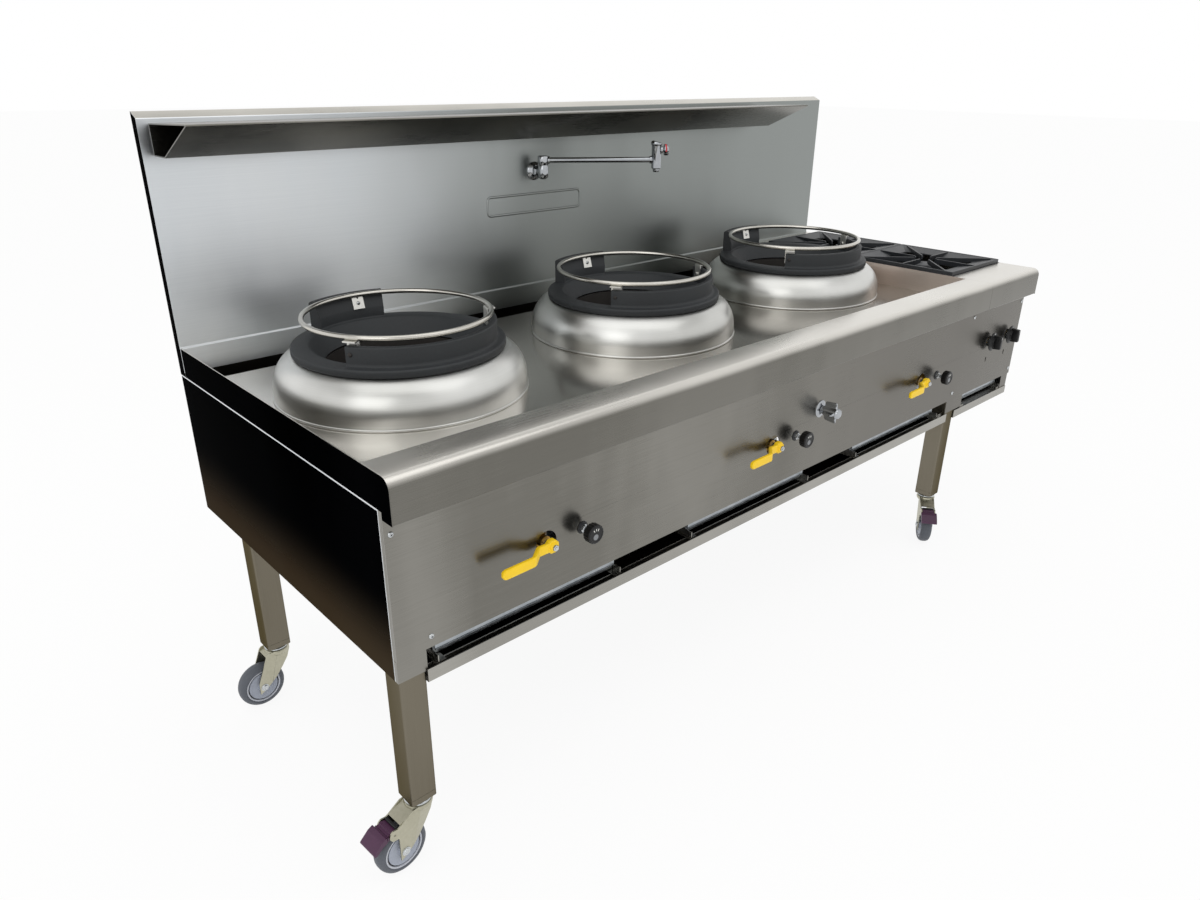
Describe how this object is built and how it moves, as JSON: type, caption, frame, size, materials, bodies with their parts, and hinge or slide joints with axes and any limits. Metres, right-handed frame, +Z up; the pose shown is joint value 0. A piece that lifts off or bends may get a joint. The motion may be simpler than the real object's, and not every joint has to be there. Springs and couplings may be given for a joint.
{
  "type": "wok range",
  "caption": "Stainless commercial gas wok range on casters: ring domes with raised wok rests, side hob with trivets, splashback with shelf and swing faucet, levers, knobs and drip trays.",
  "frame": {"origin": "centre of the whole range's bounding box on the floor", "axes": "+X to the user's right along the front, +Y from the front to the wall, +Z up"},
  "size_m": [2.1808, 0.8506, 1.187],
  "materials": {
    "stainless_sheet": "fine brushed",
    "stainless_tube": "fine brushed",
    "spun_stainless": "satin, spun in rings",
    "stainless_rod": "polished",
    "cast_iron": "matt dark grey enamel",
    "galvanised_pipe": "galvanised",
    "brass_valve": "satin",
    "chrome": "polished",
    "yellow_paint": "semi-gloss powder coat",
    "black_plastic": "satin",
    "tray_steel": "brushed",
    "zinc_steel": "zinc plated",
    "grey_rubber": "matt",
    "purple_plastic": "satin"
  },
  "bodies": {
    "range": {"legs": "stainless_tube", "upper_frame": "stainless_tube", "lower_frame": "stainless_tube", "front_rail": "stainless_sheet", "corner_plates": "stainless_sheet", "outer_panels": "stainless_sheet", "control_panel": "stainless_sheet", "deck_nosing": "stainless_sheet", "wok_deck": "stainless_sheet", "deck_gutter": "stainless_sheet", "hob_top": "stainless_sheet", "splashback": "stainless_sheet", "splashback_shelf": "stainless_sheet", "dome_1": "spun_stainless", "wok_ring_1": "cast_iron", "dome_2": "spun_stainless", "wok_ring_2": "cast_iron", "dome_3": "spun_stainless", "wok_ring_3": "cast_iron", "rest_rings": "stainless_rod", "fire_pots": "cast_iron", "wok_burners": "cast_iron", "gas_manifold": "galvanised_pipe", "gas_pipes": "galvanised_pipe", "gas_valves": "brass_valve", "water_pipes": "brass_valve", "water_fittings": "chrome", "hob_burners": "cast_iron", "trivets": "cast_iron", "panel_screws": "stainless_rod"},
    "caster_fl": {"caster_fl_fork": "zinc_steel"},
    "wheel_fl": {"caster_fl_wheel": "grey_rubber"},
    "brake_fl": {"brake_pedal_fl": "purple_plastic"},
    "caster_rl": {"caster_rl_fork": "zinc_steel"},
    "wheel_rl": {"caster_rl_wheel": "grey_rubber"},
    "caster_fr": {"caster_fr_fork": "zinc_steel"},
    "wheel_fr": {"caster_fr_wheel": "grey_rubber"},
    "brake_fr": {"brake_pedal_fr": "purple_plastic"},
    "caster_rr": {"caster_rr_fork": "zinc_steel"},
    "wheel_rr": {"caster_rr_wheel": "grey_rubber"},
    "lever_1": {"valve_lever_1": "yellow_paint"},
    "pilot_stem_1": {"pilot_stem_1": "stainless_rod"},
    "pilot_knob_1": {"pilot_knob_1": "black_plastic"},
    "drip_tray_1": {"drip_tray_1": "tray_steel"},
    "lever_2": {"valve_lever_2": "yellow_paint"},
    "pilot_stem_2": {"pilot_stem_2": "stainless_rod"},
    "pilot_knob_2": {"pilot_knob_2": "black_plastic"},
    "drip_tray_2": {"drip_tray_2": "tray_steel"},
    "lever_3": {"valve_lever_3": "yellow_paint"},
    "pilot_stem_3": {"pilot_stem_3": "stainless_rod"},
    "pilot_knob_3": {"pilot_knob_3": "black_plastic"},
    "drip_tray_3": {"drip_tray_3": "tray_steel"},
    "hob_drip_tray": {"hob_drip_tray": "tray_steel"},
    "hob_stem_1": {"hob_stem_1": "stainless_rod"},
    "hob_knob_1": {"hob_knob_1": "black_plastic"},
    "hob_stem_2": {"hob_stem_2": "stainless_rod"},
    "hob_knob_2": {"hob_knob_2": "black_plastic"},
    "tap_handle": {"tap_handle": "chrome"},
    "faucet_arm": {"faucet_arm": "chrome"},
    "faucet_handle": {"faucet_handle": "chrome"}
  },
  "joints": [
    {"name": "caster_fl_swivel", "type": "hinge", "parent": "range", "child": "caster_fl", "pos_m": [-0.98315, -0.34472, 0.125], "axis": [0, 0, 1], "continuous": true},
    {"name": "wheel_fl_spin", "type": "hinge", "parent": "caster_fl", "child": "wheel_fl", "pos_m": [-1.02704, -0.34779, 0.048], "axis": [0.0698, -0.9976, 0], "continuous": true},
    {"name": "brake_fl_press", "type": "hinge", "parent": "caster_fl", "child": "brake_fl", "pos_m": [-1.045, -0.34904, 0.097], "axis": [0.0698, -0.9976, 0], "range_deg": [0, 12]},
    {"name": "caster_rl_swivel", "type": "hinge", "parent": "range", "child": "caster_rl", "pos_m": [-0.98315, 0.22428, 0.125], "axis": [0, 0, 1], "continuous": true},
    {"name": "wheel_rl_spin", "type": "hinge", "parent": "caster_rl", "child": "wheel_rl", "pos_m": [-1.02714, 0.22351, 0.048], "axis": [0.0175, -0.9998, 0], "continuous": true},
    {"name": "caster_fr_swivel", "type": "hinge", "parent": "range", "child": "caster_fr", "pos_m": [0.74035, -0.34472, 0.125], "axis": [0, 0, 1], "continuous": true},
    {"name": "wheel_fr_spin", "type": "hinge", "parent": "caster_fr", "child": "wheel_fr", "pos_m": [0.70521, -0.3712, 0.048], "axis": [0.6018, -0.7986, 0], "continuous": true},
    {"name": "brake_fr_press", "type": "hinge", "parent": "caster_fr", "child": "brake_fr", "pos_m": [0.69084, -0.38203, 0.097], "axis": [0.6018, -0.7986, 0], "range_deg": [0, 12]},
    {"name": "caster_rr_swivel", "type": "hinge", "parent": "range", "child": "caster_rr", "pos_m": [0.74035, 0.22428, 0.125], "axis": [0, 0, 1], "continuous": true},
    {"name": "wheel_rr_spin", "type": "hinge", "parent": "caster_rr", "child": "wheel_rr", "pos_m": [0.69901, 0.23933, 0.048], "axis": [-0.342, -0.9397, 0], "continuous": true},
    {"name": "lever_1_turn", "type": "hinge", "parent": "range", "child": "lever_1", "pos_m": [-0.71365, -0.39372, 0.529], "axis": [0, -1, 0], "range_deg": [0, 90]},
    {"name": "pilot_1_push", "type": "slide", "parent": "range", "child": "pilot_stem_1", "axis": [0, 1, 0], "range_m": [0, 0.003], "stiffness_N_per_m": 1500},
    {"name": "pilot_1_turn", "type": "hinge", "parent": "pilot_stem_1", "child": "pilot_knob_1", "pos_m": [-0.63265, -0.39972, 0.529], "axis": [0, -1, 0], "range_deg": [0, 90]},
    {"name": "drip_tray_1_slide", "type": "slide", "parent": "range", "child": "drip_tray_1", "axis": [0, -1, 0], "range_m": [0, 0.45]},
    {"name": "lever_2_turn", "type": "hinge", "parent": "range", "child": "lever_2", "pos_m": [-0.08865, -0.39372, 0.529], "axis": [0, -1, 0], "range_deg": [0, 90]},
    {"name": "pilot_2_push", "type": "slide", "parent": "range", "child": "pilot_stem_2", "axis": [0, 1, 0], "range_m": [0, 0.003], "stiffness_N_per_m": 1500},
    {"name": "pilot_2_turn", "type": "hinge", "parent": "pilot_stem_2", "child": "pilot_knob_2", "pos_m": [-0.00765, -0.39972, 0.529], "axis": [0, -1, 0], "range_deg": [0, 90]},
    {"name": "drip_tray_2_slide", "type": "slide", "parent": "range", "child": "drip_tray_2", "axis": [0, -1, 0], "range_m": [0, 0.45]},
    {"name": "lever_3_turn", "type": "hinge", "parent": "range", "child": "lever_3", "pos_m": [0.53635, -0.39372, 0.529], "axis": [0, -1, 0], "range_deg": [0, 90]},
    {"name": "pilot_3_push", "type": "slide", "parent": "range", "child": "pilot_stem_3", "axis": [0, 1, 0], "range_m": [0, 0.003], "stiffness_N_per_m": 1500},
    {"name": "pilot_3_turn", "type": "hinge", "parent": "pilot_stem_3", "child": "pilot_knob_3", "pos_m": [0.61735, -0.39972, 0.529], "axis": [0, -1, 0], "range_deg": [0, 90]},
    {"name": "drip_tray_3_slide", "type": "slide", "parent": "range", "child": "drip_tray_3", "axis": [0, -1, 0], "range_m": [0, 0.45]},
    {"name": "hob_drip_tray_slide", "type": "slide", "parent": "range", "child": "hob_drip_tray", "axis": [0, -1, 0], "range_m": [0, 0.45]},
    {"name": "hob_1_push", "type": "slide", "parent": "range", "child": "hob_stem_1", "axis": [0, 1, 0], "range_m": [0, 0.003], "stiffness_N_per_m": 1500},
    {"name": "hob_1_turn", "type": "hinge", "parent": "hob_stem_1", "child": "hob_knob_1", "pos_m": [0.90635, -0.39972, 0.566], "axis": [0, -1, 0], "range_deg": [0, 210]},
    {"name": "hob_2_push", "type": "slide", "parent": "range", "child": "hob_stem_2", "axis": [0, 1, 0], "range_m": [0, 0.003], "stiffness_N_per_m": 1500},
    {"name": "hob_2_turn", "type": "hinge", "parent": "hob_stem_2", "child": "hob_knob_2", "pos_m": [1.01935, -0.39972, 0.566], "axis": [0, -1, 0], "range_deg": [0, 210]},
    {"name": "tap_turn", "type": "hinge", "parent": "range", "child": "tap_handle", "pos_m": [0.07935, -0.42072, 0.57], "axis": [0, -1, 0], "range_deg": [0, 360]},
    {"name": "faucet_swing", "type": "hinge", "parent": "range", "child": "faucet_arm", "pos_m": [-0.11065, 0.36428, 1.046], "axis": [0, 0, 1], "range_deg": [-140, 25]},
    {"name": "faucet_handle_turn", "type": "hinge", "parent": "faucet_arm", "child": "faucet_handle", "pos_m": [0.12035, 0.20253, 1.08], "axis": [0.8192, -0.5736, 0], "range_deg": [0, 90]}
  ]
}
